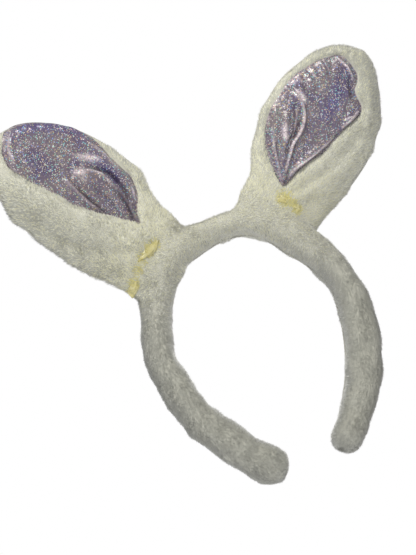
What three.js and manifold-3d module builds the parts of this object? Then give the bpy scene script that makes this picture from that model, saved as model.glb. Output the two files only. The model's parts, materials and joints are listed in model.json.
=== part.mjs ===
// Animal ears headband: a springy padded hoop in a plush sleeve, with two wired plush rabbit ears.
//
// Millimetres, +Z up as worn, the front of the ears faces -Y. The origin is the middle of the crown's
// inner face, where the hoop sits on the head. Left is -X and right is +X, as seen from the front.
// The hoop flexes at one hinge line in each leg. Each ear tilts at its root and bends at mid height.
// Pieces that cross a hinge line are split there, with room for the motion cut into both faces.

import * as THREE from "three";
import { mergeVertices } from "three/addons/utils/BufferGeometryUtils.js";
import Module from "manifold-3d";

const wasm = await Module();
wasm.setup();

const DEG = Math.PI / 180;

// ---------------------------------------------------------------- driving dimensions

const GAP = 0.3; // between pieces that touch
const HINGE_GAP = 0.15; // from a hinge line to the piece on each side of it

// Hoop centreline: tangent arcs from the middle of the crown down to each tip.
const BAND_ARCS = [
  { radius: 56, angle: 49.5 * DEG },
  { radius: 83, angle: 53.6 * DEG },
  { radius: 114, angle: 35 * DEG },
];
const BAND_STEP = 10; // length of one straight facet of the hoop

const SLEEVE_RADIAL = 10.5; // half thickness of the covered band
const SLEEVE_DEPTH = 14; // half width of the covered band, front to back
const SLEEVE_WALL = 2;
const SLEEVE_SIDES = 14;
const SEAM_NOTCH = { half_width: 0.9, depth: 1.4 };
const SEAM_RADIUS = 0.5;

const PADDING_RADIAL = SLEEVE_RADIAL - SLEEVE_WALL - GAP;
const PADDING_DEPTH = SLEEVE_DEPTH - SLEEVE_WALL - GAP;
const PADDING_SIDES = 12;
const CORE_HALF_THICKNESS = 0.9;
const CORE_HALF_WIDTH = 6;

// How far before the end of the centreline each layer stops.
const TIP_SETBACK = { padding: 1, core: 8, seam: 6 };

// Hinge line of each springy leg, measured along the centreline from the crown.
const FLEX = { arc: 88, spread: 22, squeeze: 4 };

// Ears stand on the centreline at this arc length from the crown. The wires hold each in its own
// pose: splay is outwards from vertical, lean is forwards and twist turns the outer edge back.
const EAR_ARC = 39;
const EAR_POSES = {
  right: { splay: 45.7 * DEG, lean: 20 * DEG, twist: 20 * DEG },
  left: { splay: 45 * DEG, lean: 27 * DEG, twist: -6 * DEG },
};

// Ear outline as [across, up] from the hoop centreline: inner side, tip, outer side.
const EAR_OUTLINE = [
  [-30, 14], [-29.5, 25], [-35, 40], [-40, 62], [-38, 86], [-28.5, 106.5], [-12, 121], [0, 124],
  [12, 120], [25, 106.5], [33.5, 87], [36.5, 62], [33.5, 37], [28.5, 25], [29, 14],
];
const OUTLINE_SAMPLES = 34;
const EAR_HALF_THICKNESS = 6.5;
const EAR_BEVEL = 1.2;
const PLUSH_WALL = 3.2;

// Inner ear panel, nearer the inner edge of the ear than the outer one.
const PANEL_OUTLINE = [
  [-8, 28], [-21, 38], [-31, 51], [-34.5, 66], [-34, 82], [-30, 96], [-20, 108], [-9, 114],
  [2, 111], [9, 101], [13, 88], [12.5, 74], [8, 55], [-1, 38],
];
const PANEL_SAMPLES = 28;
const PANEL_BOTTOM = EAR_HALF_THICKNESS - PLUSH_WALL + GAP;
const PANEL_THICKNESS = 1;

const STUFFING_INSET = 8;
const STUFFING_HALF_THICKNESS = 3;
const STITCH_RADIUS = 0.4;
const STITCH_INSET = 1.5;

const WIRE_RADIUS = 0.8;
const WIRE_CLEARANCE = 0.4;
const WIRE_INSET = 5.6;
const WIRE_FOOT_HALF_LENGTH = 6;
const WIRE_FOOT_RADIAL = CORE_HALF_THICKNESS + GAP + WIRE_RADIUS;
const WIRE_ROOT_HALF_WIDTH = 17;

// Tape that binds the wire's foot to the core.
const TAPE_HALF_LENGTH = 9;
const TAPE_WALL = 0.6;
const TAPE_OUTER_RADIAL = WIRE_FOOT_RADIAL + WIRE_RADIUS + GAP;

// Hinges of an ear: height above the centreline and range in degrees.
const TILT = { up: 21, forward: 30, back: 35 };
const BEND = { up: 70, forward: 60, back: 30 };

const ROOT_HALF_THICKNESS = 7;
const ROOT_OUTLINE = [[-20, -3], [-28.5, TILT.up + 1], [28, TILT.up + 1], [26, -3]];

// Hot glue on the front of each root: [across, up] of the middle, then half sizes and thickness.
const GLUE = {
  right: [
    { name: "glue_blob", at: [-3, 15.5], half: [5, 3, 1.3] },
    { name: "glue_drop", at: [6, 14], half: [3, 2.5, 1.3] },
  ],
  left: [
    { name: "glue_line", at: [0, 16], half: [9, 2.2, 1.2] },
    { name: "glue_drop", at: [26, 10], half: [3.5, 3.2, 1.4] },
  ],
};

const REACH = 60; // half size of the cutting prisms

// ---------------------------------------------------------------- materials

function finish(color, roughness, metalness = 0) {
  return { color, roughness, metalness };
}

const FINISHES = {
  plush: finish(0xd9d8c8, 0.95),
  lavender: finish(0x85799a, 0.45, 0.2),
  foam: finish(0xe6e2c8, 0.9),
  stuffing: finish(0xf2f2ee, 1),
  core: finish(0xf0f0ea, 0.4),
  wire: finish(0x9a9c9e, 0.35, 0.9),
  tape: finish(0xe9e5d6, 0.7),
  thread: finish(0xf4f3ea, 0.6),
  glue: finish(0xd8cf8e, 0.3),
};

// ---------------------------------------------------------------- solids

function toSolid(geometry) {
  const bare = geometry.clone();
  bare.deleteAttribute("normal");
  bare.deleteAttribute("uv");
  const merged = mergeVertices(bare, 1e-4);
  return new wasm.Manifold(new wasm.Mesh({
    numProp: 3,
    vertProperties: merged.attributes.position.array,
    triVerts: merged.index.array,
  }));
}

function toGeometry(solid) {
  const mesh = solid.getMesh();
  const geometry = new THREE.BufferGeometry();
  geometry.setAttribute("position", new THREE.BufferAttribute(mesh.vertProperties, 3));
  geometry.setIndex(new THREE.BufferAttribute(mesh.triVerts, 1));
  geometry.computeVertexNormals();
  return geometry;
}

function shapeOf(points) {
  return new THREE.Shape(points.map(([x, y]) => new THREE.Vector2(x, y)));
}

// A polygon extruded from z = low to z = high, with optional chamfers that stay inside it.
function slab(points, low, high, bevel = 0) {
  const geometry = new THREE.ExtrudeGeometry(shapeOf(points), {
    depth: high - low - 2 * bevel,
    bevelEnabled: bevel > 0,
    bevelThickness: bevel,
    bevelSize: bevel,
    bevelOffset: -bevel,
    bevelSegments: 1,
  });
  geometry.translate(0, 0, low + bevel);
  return toSolid(geometry);
}

// A polygon in the plane of two axes, extruded both ways along their cross product.
function prism(points, xAxis, yAxis, origin) {
  const geometry = new THREE.ExtrudeGeometry(shapeOf(points), { depth: 2 * REACH, bevelEnabled: false });
  geometry.translate(0, 0, -REACH);
  const zAxis = new THREE.Vector3().crossVectors(xAxis, yAxis);
  geometry.applyMatrix4(new THREE.Matrix4().makeBasis(xAxis, yAxis, zAxis).setPosition(origin));
  return toSolid(geometry);
}

function ellipsePoints(a, b, sides) {
  return Array.from({ length: sides }, (_, i) => {
    const angle = ((i + 0.5) / sides) * 2 * Math.PI;
    return [a * Math.cos(angle), b * Math.sin(angle)];
  });
}

function rectanglePoints(lowX, highX, halfY) {
  return [[lowX, -halfY], [highX, -halfY], [highX, halfY], [lowX, halfY]];
}

function tube(points, radius, sides, steps) {
  const path = new THREE.CatmullRomCurve3(points, false, "centripetal");
  return new THREE.ExtrudeGeometry(shapeOf(ellipsePoints(radius, radius, sides)), {
    steps,
    extrudePath: path,
    bevelEnabled: false,
  });
}

// ---------------------------------------------------------------- hoop

const BAND_HALF_LENGTH = BAND_ARCS.reduce((sum, { radius, angle }) => sum + radius * angle, 0);

// Point, outward normal and tangent of the centreline at a signed arc length from the crown.
function bandFrame(arc) {
  const side = arc < 0 ? -1 : 1;
  let left = Math.abs(arc);
  let heading = 0;
  let x = 0;
  let z = SLEEVE_RADIAL;
  for (const { radius, angle } of BAND_ARCS) {
    const turn = Math.min(left / radius, angle);
    x += radius * (Math.sin(heading + turn) - Math.sin(heading));
    z += radius * (Math.cos(heading + turn) - Math.cos(heading));
    heading += turn;
    left -= radius * turn;
  }
  return {
    point: new THREE.Vector3(side * x, 0, z),
    normal: new THREE.Vector3(side * Math.sin(heading), 0, Math.cos(heading)),
    tangent: new THREE.Vector3(Math.cos(heading), 0, -side * Math.sin(heading)),
  };
}

// The centreline between two arc lengths. A section's x points outwards and its y to the front.
class BandPath extends THREE.Curve {
  constructor(from, to) {
    super();
    this.from = from;
    this.to = to;
  }

  frameAt(t) {
    return bandFrame(THREE.MathUtils.lerp(this.from, this.to, t));
  }

  getPoint(t) {
    return this.frameAt(t).point;
  }

  getPointAt(t) {
    return this.getPoint(t);
  }

  computeFrenetFrames(segments) {
    const frames = Array.from({ length: segments + 1 }, (_, i) => this.frameAt(i / segments));
    return {
      tangents: frames.map(({ tangent }) => tangent),
      normals: frames.map(({ normal }) => normal),
      binormals: frames.map(({ tangent, normal }) => new THREE.Vector3().crossVectors(tangent, normal)),
    };
  }
}

function sweep(section, from, to) {
  return toSolid(new THREE.ExtrudeGeometry(shapeOf(section), {
    steps: Math.ceil((to - from) / BAND_STEP),
    extrudePath: new BandPath(from, to),
    bevelEnabled: false,
  }));
}

// Outline of the sleeve, starting and ending at the edges of the notch in its inner face.
function sleeveEllipse(grow) {
  const start = Math.PI + Math.asin(SEAM_NOTCH.half_width / SLEEVE_DEPTH);
  const span = 2 * Math.PI - 2 * (start - Math.PI);
  return Array.from({ length: SLEEVE_SIDES + 1 }, (_, i) => {
    const angle = start + (i / SLEEVE_SIDES) * span;
    return [(SLEEVE_RADIAL + grow) * Math.cos(angle), (SLEEVE_DEPTH + grow) * Math.sin(angle)];
  });
}

// Sleeve section with the notch that the seam lies in.
function sleeveSection() {
  const bottom = -SLEEVE_RADIAL + SEAM_NOTCH.depth;
  return [...sleeveEllipse(0), [bottom, SEAM_NOTCH.half_width], [bottom, -SEAM_NOTCH.half_width]];
}

const SECTIONS = {
  sleeveOuter: sleeveSection(),
  sleeveCleared: sleeveEllipse(GAP),
  sleeveInner: ellipsePoints(SLEEVE_RADIAL - SLEEVE_WALL, SLEEVE_DEPTH - SLEEVE_WALL, PADDING_SIDES),
  padding: ellipsePoints(PADDING_RADIAL, PADDING_DEPTH, PADDING_SIDES),
  tunnel: rectanglePoints(-CORE_HALF_THICKNESS - GAP, CORE_HALF_THICKNESS + GAP, CORE_HALF_WIDTH + GAP),
  core: rectanglePoints(-CORE_HALF_THICKNESS, CORE_HALF_THICKNESS, CORE_HALF_WIDTH),
  seam: ellipsePoints(SEAM_RADIUS, SEAM_RADIUS, 6).map(([x, y]) => [x - SLEEVE_RADIAL + SEAM_RADIUS, y]),
};

// Takes from a crown piece what each leg needs to swing out by spread and in by squeeze.
function flexClearance(side) {
  const { point, normal, tangent } = bandFrame(side * FLEX.arc);
  const toTip = tangent.multiplyScalar(side);
  const outer = HINGE_GAP + REACH * Math.tan((FLEX.spread + 0.5) * DEG);
  const inner = HINGE_GAP + REACH * Math.tan((FLEX.squeeze + 0.5) * DEG);
  const outline = [[0, -HINGE_GAP], [REACH, -outer], [REACH, REACH], [-REACH, REACH], [-REACH, -inner]];
  const steps = outline.map(([x, y]) => [x / 3, y / 3]);
  steps[0] = [0, -HINGE_GAP];
  return prism(steps, normal, toTip, point);
}

const FLEX_CLEARANCE = flexClearance(1).add(flexClearance(-1));

function crownSweep(section) {
  const past = FLEX.arc + 2;
  return sweep(section, -past, past);
}

function crownPiece(outer, hollow) {
  const whole = hollow ? crownSweep(outer).subtract(crownSweep(hollow)) : crownSweep(outer);
  return whole.subtract(FLEX_CLEARANCE);
}

// One leg's piece, from the hinge line to a set distance before the end of the centreline.
function legPiece(section, side, setback = 0, start = FLEX.arc + HINGE_GAP) {
  const end = BAND_HALF_LENGTH - setback;
  return side > 0 ? sweep(section, start, end) : sweep(section, -end, -start);
}

function tipDome(side) {
  const { point, normal, tangent } = bandFrame(side * BAND_HALF_LENGTH);
  const dome = new THREE.SphereGeometry(1, SLEEVE_SIDES, 10);
  dome.scale(SLEEVE_RADIAL, SLEEVE_RADIAL, SLEEVE_DEPTH);
  const toFront = new THREE.Vector3().crossVectors(normal, tangent);
  dome.applyMatrix4(new THREE.Matrix4().makeBasis(normal, tangent, toFront).setPosition(point));
  return toSolid(dome);
}

function legPieces(side) {
  const cavityStart = FLEX.arc - 1;
  const cavity = legPiece(SECTIONS.sleeveInner, side, TIP_SETBACK.padding - GAP, cavityStart);
  const tunnel = legPiece(SECTIONS.tunnel, side, TIP_SETBACK.core - GAP, cavityStart);
  return {
    sleeve: legPiece(SECTIONS.sleeveOuter, side).add(tipDome(side)).subtract(cavity),
    padding: legPiece(SECTIONS.padding, side, TIP_SETBACK.padding).subtract(tunnel),
    core: legPiece(SECTIONS.core, side, TIP_SETBACK.core),
    seam: legPiece(SECTIONS.seam, side, TIP_SETBACK.seam),
  };
}

// ---------------------------------------------------------------- ears

// Ear frame: x across towards +X, y up the ear, z out of its front, on the hoop centreline.
function earMatrix(side, { splay, lean, twist }) {
  const up = new THREE.Vector3(
    Math.sin(splay) * Math.cos(lean),
    -Math.sin(lean),
    Math.cos(splay) * Math.cos(lean),
  );
  const level = new THREE.Vector3(Math.cos(splay), 0, -Math.sin(splay));
  const across = level.applyAxisAngle(up, twist);
  if (side < 0) {
    up.x = -up.x;
    across.set(across.x, -across.y, -across.z);
  }
  const front = new THREE.Vector3().crossVectors(across, up);
  return new THREE.Matrix4().makeBasis(across, up, front).setPosition(bandFrame(side * EAR_ARC).point);
}

// A smooth curve through [across, up] points, mirrored for the left ear.
function flatCurve(points, side, closed) {
  const spread = points.map(([x, y]) => new THREE.Vector3(side * x, y, 0));
  return new THREE.CatmullRomCurve3(spread, closed, "centripetal");
}

// Points of a curve between two parameters, moved inwards by inset and to height z.
function insetPoints(curve, side, inset, z, samples, from = 0, to = 1) {
  return Array.from({ length: samples + 1 }, (_, i) => {
    const along = from + (i / samples) * (to - from);
    const t = curve.closed ? THREE.MathUtils.euclideanModulo(along, 1) : along;
    const point = curve.getPoint(t);
    const tangent = curve.getTangent(t);
    return new THREE.Vector3(
      point.x + side * inset * tangent.y,
      point.y - side * inset * tangent.x,
      z,
    );
  });
}

function flatten(points) {
  return points.map(({ x, y }) => [x, y]);
}

// Parameter where a curve crosses a height, searched between two parameters on opposite sides of it.
function crossing(curve, height, low, high) {
  const lowIsUnder = curve.getPoint(low).y < height;
  for (let i = 0; i < 30; i += 1) {
    const middle = (low + high) / 2;
    if (curve.getPoint(middle).y < height === lowIsUnder) {
      low = middle;
    } else {
      high = middle;
    }
  }
  return low;
}

// How far an edge at height z above the hinge line stays back from it, for a piece to turn freely.
function swingRoom(hinge, z) {
  const angle = z > 0 ? hinge.forward : hinge.back;
  return HINGE_GAP + Math.abs(z) * Math.tan((angle / 2 + 0.5) * DEG);
}

// The space on one side of an ear's hinge line: direction 1 is above it and -1 below.
function hingeRegion(hinge, direction) {
  const reach = REACH / 3;
  const outline = [
    [0, hinge.up + direction * HINGE_GAP],
    [reach, hinge.up + direction * swingRoom(hinge, reach)],
    [reach, hinge.up + direction * 2 * REACH],
    [-reach, hinge.up + direction * 2 * REACH],
    [-reach, hinge.up + direction * swingRoom(hinge, -reach)],
  ];
  const origin = new THREE.Vector3();
  return prism(outline, new THREE.Vector3(0, 0, 1), new THREE.Vector3(0, 1, 0), origin);
}

const ABOVE_TILT = hingeRegion(TILT, 1);
const BELOW_TILT = hingeRegion(TILT, -1);
const ABOVE_BEND = hingeRegion(BEND, 1);
const BELOW_BEND = hingeRegion(BEND, -1);

function splitAtBend(solid) {
  return { lower: solid.intersect(ABOVE_TILT).intersect(BELOW_BEND), upper: solid.intersect(ABOVE_BEND) };
}

// The bag of an ear: back and front plush with a pocket between them and a hole for the panel.
function earLayers(side) {
  const outline = flatCurve(EAR_OUTLINE, side, false);
  const panelCurve = flatCurve(PANEL_OUTLINE, side, true);
  const outside = flatten(insetPoints(outline, side, 0, 0, OUTLINE_SAMPLES));
  const inside = flatten(insetPoints(outline, side, PLUSH_WALL, 0, OUTLINE_SAMPLES));
  const filled = flatten(insetPoints(outline, side, STUFFING_INSET, 0, OUTLINE_SAMPLES));
  const hole = flatten(insetPoints(panelCurve, side, 0, 0, PANEL_SAMPLES)).slice(1);
  const panel = flatten(insetPoints(panelCurve, side, GAP, 0, PANEL_SAMPLES)).slice(1);
  const pocketHalf = EAR_HALF_THICKNESS - PLUSH_WALL;
  const pocket = slab(inside, -pocketHalf, pocketHalf);
  const front = slab(outside, GAP / 2, EAR_HALF_THICKNESS, EAR_BEVEL);
  const back = slab(outside, -EAR_HALF_THICKNESS, -GAP / 2, EAR_BEVEL);
  return {
    front_rim: front.subtract(pocket).subtract(slab(hole, 0, 2 * EAR_HALF_THICKNESS)),
    back_panel: back.subtract(pocket),
    inner_ear: slab(panel, PANEL_BOTTOM, PANEL_BOTTOM + PANEL_THICKNESS),
    stuffing: slab(filled, -STUFFING_HALF_THICKNESS, STUFFING_HALF_THICKNESS),
  };
}

// Three stretches of a line along the ear's edge: inner side, outer side and the arch over the tip.
function edgeStretches(side, inset, rootRoom, bendRoom) {
  const outline = flatCurve(EAR_OUTLINE, side, false);
  const crossings = (height) => [crossing(outline, height, 0, 0.5), crossing(outline, height, 1, 0.5)];
  const [innerRoot, outerRoot] = crossings(TILT.up + rootRoom);
  const [innerUnder, outerUnder] = crossings(BEND.up - bendRoom);
  const [innerOver, outerOver] = crossings(BEND.up + bendRoom);
  return {
    inner: insetPoints(outline, side, inset, 0, 6, innerRoot, innerUnder),
    outer: insetPoints(outline, side, inset, 0, 6, outerRoot, outerUnder),
    arch: insetPoints(outline, side, inset, 0, 16, innerOver, outerOver),
  };
}

// The wire crosses the root from the core to the ear, and lies along the core between its legs.
function wireFootPoints(side, matrix) {
  const toEar = matrix.clone().invert();
  const onCore = [-1, 0, 1].map((step) => {
    const { point, normal } = bandFrame(side * EAR_ARC + step * WIRE_FOOT_HALF_LENGTH);
    return point.addScaledVector(normal, WIRE_FOOT_RADIAL).applyMatrix4(toEar);
  });
  const top = TILT.up - swingRoom(TILT, WIRE_RADIUS) - GAP;
  return [
    new THREE.Vector3(-WIRE_ROOT_HALF_WIDTH, top, 0),
    new THREE.Vector3(-WIRE_ROOT_HALF_WIDTH + 4, 13, 0),
    ...onCore,
    new THREE.Vector3(WIRE_ROOT_HALF_WIDTH - 4, 13, 0),
    new THREE.Vector3(WIRE_ROOT_HALF_WIDTH, top, 0),
  ];
}

// The base of the ear's plush, cut to sit on the band like a saddle.
function earRoot(side, matrix, wireHole) {
  const outline = ROOT_OUTLINE.map(([x, y]) => [side * x, y]);
  const block = slab(outline, -ROOT_HALF_THICKNESS, ROOT_HALF_THICKNESS);
  const band = crownSweep(SECTIONS.sleeveCleared).transform(matrix.clone().invert().toArray());
  return block.intersect(BELOW_TILT).subtract(band).subtract(wireHole);
}

function stitchStretches(side) {
  const curve = flatCurve(PANEL_OUTLINE, side, true);
  const z = PANEL_BOTTOM + PANEL_THICKNESS + GAP + STITCH_RADIUS;
  const room = swingRoom(BEND, z + STITCH_RADIUS);
  const innerUnder = crossing(curve, BEND.up - room, 0, 0.5);
  const innerOver = crossing(curve, BEND.up + room, 0, 0.5);
  const outerUnder = crossing(curve, BEND.up - room, 1, 0.5);
  const outerOver = crossing(curve, BEND.up + room, 1, 0.5);
  return {
    lower: insetPoints(curve, side, STITCH_INSET, z, 14, outerUnder - 1, innerUnder),
    upper: insetPoints(curve, side, STITCH_INSET, z, 14, innerOver, outerOver),
  };
}

function glueBead({ at, half }, side) {
  const bead = new THREE.SphereGeometry(1, 10, 6);
  bead.scale(...half);
  bead.translate(side * at[0], at[1], ROOT_HALF_THICKNESS + GAP + half[2]);
  return bead;
}

// ---------------------------------------------------------------- assembly

const headband = new THREE.Group();

function place(group, name, geometry, finishName) {
  const mesh = new THREE.Mesh(geometry, new THREE.MeshStandardMaterial(FINISHES[finishName]));
  mesh.name = name;
  group.add(mesh);
}

const BAND_FINISHES = { sleeve: "plush", padding: "foam", core: "core", seam: "thread" };

function tapeSection(grow) {
  const low = -CORE_HALF_THICKNESS - GAP - grow;
  return rectanglePoints(low, TAPE_OUTER_RADIAL + grow, CORE_HALF_WIDTH + GAP + grow);
}

function tapeSweep(grow, side, past = 0) {
  const middle = side * EAR_ARC;
  return sweep(tapeSection(grow), middle - TAPE_HALF_LENGTH - past, middle + TAPE_HALF_LENGTH + past);
}

const crown = {
  sleeve: crownPiece(SECTIONS.sleeveOuter, SECTIONS.sleeveInner),
  padding: crownPiece(SECTIONS.padding, SECTIONS.tunnel),
  core: crownPiece(SECTIONS.core),
  seam: crownPiece(SECTIONS.seam),
};

function buildEar(side) {
  const label = side > 0 ? "right" : "left";
  const matrix = earMatrix(side, EAR_POSES[label]);
  const ear = new THREE.Group();
  ear.applyMatrix4(matrix);
  headband.add(ear);

  const layerFinishes = { front_rim: "plush", back_panel: "plush", inner_ear: "lavender", stuffing: "stuffing" };
  for (const [layer, solid] of Object.entries(earLayers(side))) {
    const { lower, upper } = splitAtBend(solid);
    place(ear, `${label}_${layer}_lower`, toGeometry(lower), layerFinishes[layer]);
    place(ear, `${label}_${layer}_upper`, toGeometry(upper), layerFinishes[layer]);
  }

  const wireRoom = swingRoom(BEND, WIRE_RADIUS) + GAP;
  const wire = edgeStretches(side, WIRE_INSET, swingRoom(TILT, WIRE_RADIUS) + GAP, wireRoom);
  const thread = edgeStretches(side, SEAM_RADIUS / 2, 4, wireRoom);
  for (const stretch of ["inner", "outer", "arch"]) {
    const steps = stretch === "arch" ? 20 : 8;
    place(ear, `${label}_ear_wire_${stretch}`, tube(wire[stretch], WIRE_RADIUS, 6, steps), "wire");
    place(ear, `${label}_edge_seam_${stretch}`, tube(thread[stretch], SEAM_RADIUS, 5, steps), "thread");
  }
  const stitches = stitchStretches(side);
  place(ear, `${label}_panel_stitching_lower`, tube(stitches.lower, STITCH_RADIUS, 5, 14), "thread");
  place(ear, `${label}_panel_stitching_upper`, tube(stitches.upper, STITCH_RADIUS, 5, 14), "thread");

  const footPoints = wireFootPoints(side, matrix);
  const footHole = tube(footPoints, WIRE_RADIUS + WIRE_CLEARANCE, 6, 20);
  place(ear, `${label}_ear_wire_foot`, tube(footPoints, WIRE_RADIUS, 6, 20), "wire");
  place(ear, `${label}_ear_root`, toGeometry(earRoot(side, matrix, toSolid(footHole))), "plush");
  for (const bead of GLUE[label]) {
    place(ear, `${label}_${bead.name}`, glueBead(bead, side), "glue");
  }

  const hole = toSolid(footHole.clone().applyMatrix4(matrix));
  const tape = tapeSweep(TAPE_WALL, side).subtract(tapeSweep(0, side, 1)).subtract(hole);
  place(headband, `${label}_wire_tape`, toGeometry(tape), "tape");
  crown.padding = crown.padding.subtract(tapeSweep(TAPE_WALL + GAP, side, GAP)).subtract(hole);
  crown.sleeve = crown.sleeve.subtract(hole);
}

buildEar(1);
buildEar(-1);

for (const [layer, finishName] of Object.entries(BAND_FINISHES)) {
  place(headband, `crown_${layer}`, toGeometry(crown[layer]), finishName);
}
for (const [label, side] of [["left", -1], ["right", 1]]) {
  const pieces = legPieces(side);
  for (const [layer, finishName] of Object.entries(BAND_FINISHES)) {
    place(headband, `${label}_leg_${layer}`, toGeometry(pieces[layer]), finishName);
  }
}

export default headband;
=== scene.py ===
"""Looks of the animal ears headband: plush with real pile, glitter cloth panels, seams and glue."""

import json
import math

import bmesh
import bpy
import numpy as np
from mathutils import Matrix, Vector
from mathutils.bvhtree import BVHTree


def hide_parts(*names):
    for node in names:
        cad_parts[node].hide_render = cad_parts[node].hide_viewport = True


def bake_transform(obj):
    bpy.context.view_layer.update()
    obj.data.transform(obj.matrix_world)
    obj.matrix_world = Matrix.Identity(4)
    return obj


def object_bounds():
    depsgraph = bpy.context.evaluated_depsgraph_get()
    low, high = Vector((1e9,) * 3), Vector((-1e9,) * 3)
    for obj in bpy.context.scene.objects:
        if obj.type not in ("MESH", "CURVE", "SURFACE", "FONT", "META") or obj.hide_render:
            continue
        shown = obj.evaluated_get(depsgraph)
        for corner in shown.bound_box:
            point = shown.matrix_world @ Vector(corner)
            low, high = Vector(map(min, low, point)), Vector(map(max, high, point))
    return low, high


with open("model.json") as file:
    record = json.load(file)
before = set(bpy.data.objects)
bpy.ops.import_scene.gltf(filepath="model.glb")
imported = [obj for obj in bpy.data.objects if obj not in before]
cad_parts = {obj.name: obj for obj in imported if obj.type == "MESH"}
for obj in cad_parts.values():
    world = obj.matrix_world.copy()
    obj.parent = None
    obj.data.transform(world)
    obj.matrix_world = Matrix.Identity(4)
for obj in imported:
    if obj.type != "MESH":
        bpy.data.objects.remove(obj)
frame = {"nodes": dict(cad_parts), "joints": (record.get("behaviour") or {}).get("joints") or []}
cad_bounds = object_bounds()

MM = 0.001
SIDES = {"right": 1, "left": -1}


# ---- camera, lights and floor

CAMERA_PLACE = (-0.1462, -0.5845, -0.2195)
CAMERA_RIGHT = Vector((0.9311, -0.0844, -0.3549))
CAMERA_AHEAD = Vector((0.2044, 0.9265, 0.3158))
CAMERA_LENS = 66.07
SENSOR = 36


def add_object(name, data):
    made = bpy.data.objects.new(name, data)
    bpy.context.scene.collection.objects.link(made)
    return made


def make_camera():
    camera = add_object("camera", bpy.data.cameras.new("camera"))
    right = CAMERA_RIGHT.normalized()
    back = -CAMERA_AHEAD.normalized()
    up = back.cross(right).normalized()
    camera.matrix_world = Matrix.Translation(CAMERA_PLACE) @ Matrix((right, up, back)).transposed().to_4x4()
    camera.data.lens = CAMERA_LENS
    camera.data.sensor_width = SENSOR
    camera.data.clip_start = 0.01
    bpy.context.scene.camera = camera


def area_light(name, place, target, size, power, color):
    light = add_object(name, bpy.data.lights.new(name, "AREA"))
    light.data.shape = "DISK"
    light.data.size = size
    light.data.energy = power
    light.data.color = color
    light.location = place
    light.rotation_mode = "QUATERNION"
    light.rotation_quaternion = (Vector(target) - Vector(place)).to_track_quat("-Z", "Y")


def feed(tree, node, inputs):
    """Links each of these inputs of a node from a socket, or sets it to a plain value."""
    for key, value in inputs.items():
        if isinstance(value, bpy.types.NodeSocket):
            tree.links.new(value, node.inputs[key])
        else:
            node.inputs[key].default_value = value


def add_node(tree, kind, inputs=None):
    node = tree.nodes.new(f"ShaderNode{kind}")
    feed(tree, node, inputs or {})
    return node


def make_world(fill):
    """White to look at, and a softer fill light on the object."""
    world = bpy.data.worlds.new("studio")
    world.use_nodes = True
    tree = world.node_tree
    tree.nodes.clear()
    seen = add_node(tree, "LightPath").outputs["Is Camera Ray"]
    soft, white = (add_node(tree, "Background", {"Color": color, "Strength": strength}).outputs[0]
                   for color, strength in (((1, 1, 0.98, 1), fill), ((1, 1, 1, 1), 1)))
    mix = add_node(tree, "MixShader", {0: seen, 1: soft, 2: white})
    add_node(tree, "OutputWorld", {"Surface": mix.outputs[0]})
    bpy.context.scene.world = world


make_camera()
make_world(0.30)
bpy.context.scene.view_settings.view_transform = "Standard"
area_light("key", (-0.01, -0.36, 0.22), (0, -0.02, 0.06), 0.16, 0.98, (1, 0.985, 0.89))
area_light("front", (-0.62, -0.5, -0.2), (0, 0, -0.04), 0.5, 1.1, (0.97, 0.98, 1))
area_light("back", (0.35, 0.7, 0.3), (0, 0, 0.03), 0.5, 2.2, (1, 1, 0.98))


# ---- numbers and meshes

WAVES = 14  # plane waves in the smooth noise


def waves(points, size, seed):
    """Smooth noise of about unit spread: a sum of plane waves about size long."""
    rng = np.random.default_rng(seed)
    turns = rng.normal(size=(WAVES, points.shape[1]))
    turns *= (2 * np.pi / size) * rng.uniform(0.6, 1.4, (WAVES, 1)) / np.linalg.norm(turns, axis=1)[:, None]
    phases = rng.uniform(0, 2 * np.pi, WAVES)
    return np.sin(points @ turns.T + phases).sum(1) * math.sqrt(2 / WAVES)


def smoothstep(low, high, x):
    t = np.clip((x - low) / (high - low), 0, 1)
    return t * t * (3 - 2 * t)


def catmull(points, closed=False, per=14):
    """A smooth curve through the points."""
    p = np.array(points, float)
    p = np.vstack([p[-1:], p, p[:2]] if closed else [p[:1], p, p[-1:]])
    t = np.linspace(0, 1, per, endpoint=False)[:, None]
    parts = []
    for a, b, c, d in zip(p, p[1:], p[2:], p[3:]):
        parts.append(0.5 * (2 * b + (c - a) * t + (2 * a - 5 * b + 4 * c - d) * t**2
                            + (3 * b - a - 3 * c + d) * t**3))
    return np.concatenate(parts if closed else parts + [p[-1:]])


def resample(curve, count, closed=False):
    """Points at equal distances along a curve."""
    line = np.vstack([curve, curve[:1]]) if closed else curve
    along = np.concatenate([[0], np.cumsum(np.linalg.norm(np.diff(line, axis=0), axis=1))])
    at = np.linspace(0, along[-1], count, endpoint=not closed)
    return np.stack([np.interp(at, along, line[:, k]) for k in range(line.shape[1])], 1)


def line_distance(points, line, closed=False):
    """Distance to a polyline, the side it is on (1 is left of the line) and the share of the way along."""
    line = np.vstack([line, line[:1]]) if closed else line
    best = np.full(len(points), np.inf)
    side = np.zeros(len(points))
    share = np.zeros(len(points))
    count = len(line) - 1
    for i in range(count):
        a, step = line[i], line[i + 1] - line[i]
        rel = points - a
        t = np.clip(rel @ step / max(step @ step, 1e-12), 0, 1)
        gap = rel - t[:, None] * step
        d = np.linalg.norm(gap, axis=1)
        near = d < best
        best = np.where(near, d, best)
        side = np.where(near, np.sign(step[0] * rel[:, 1] - step[1] * rel[:, 0]), side)
        share = np.where(near, (i + t) / count, share)
    return best, side, share


def inside_outline(points, outline):
    """Distance inwards from a closed outline, negative outside it."""
    d, _, _ = line_distance(points, outline, closed=True)
    x, y = points[:, 0], points[:, 1]
    within = np.zeros(len(points), bool)
    for a, b in zip(outline, np.roll(outline, -1, axis=0)):
        crosses = (a[1] > y) != (b[1] > y)
        at = a[0] + (y - a[1]) * (b[0] - a[0]) / (b[1] - a[1] + 1e-12)
        within ^= crosses & (x < at)
    return np.where(within, d, -d)


def circle(count):
    """Angles of a full turn, in equal steps."""
    return np.arange(count) / count * 2 * np.pi


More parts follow.
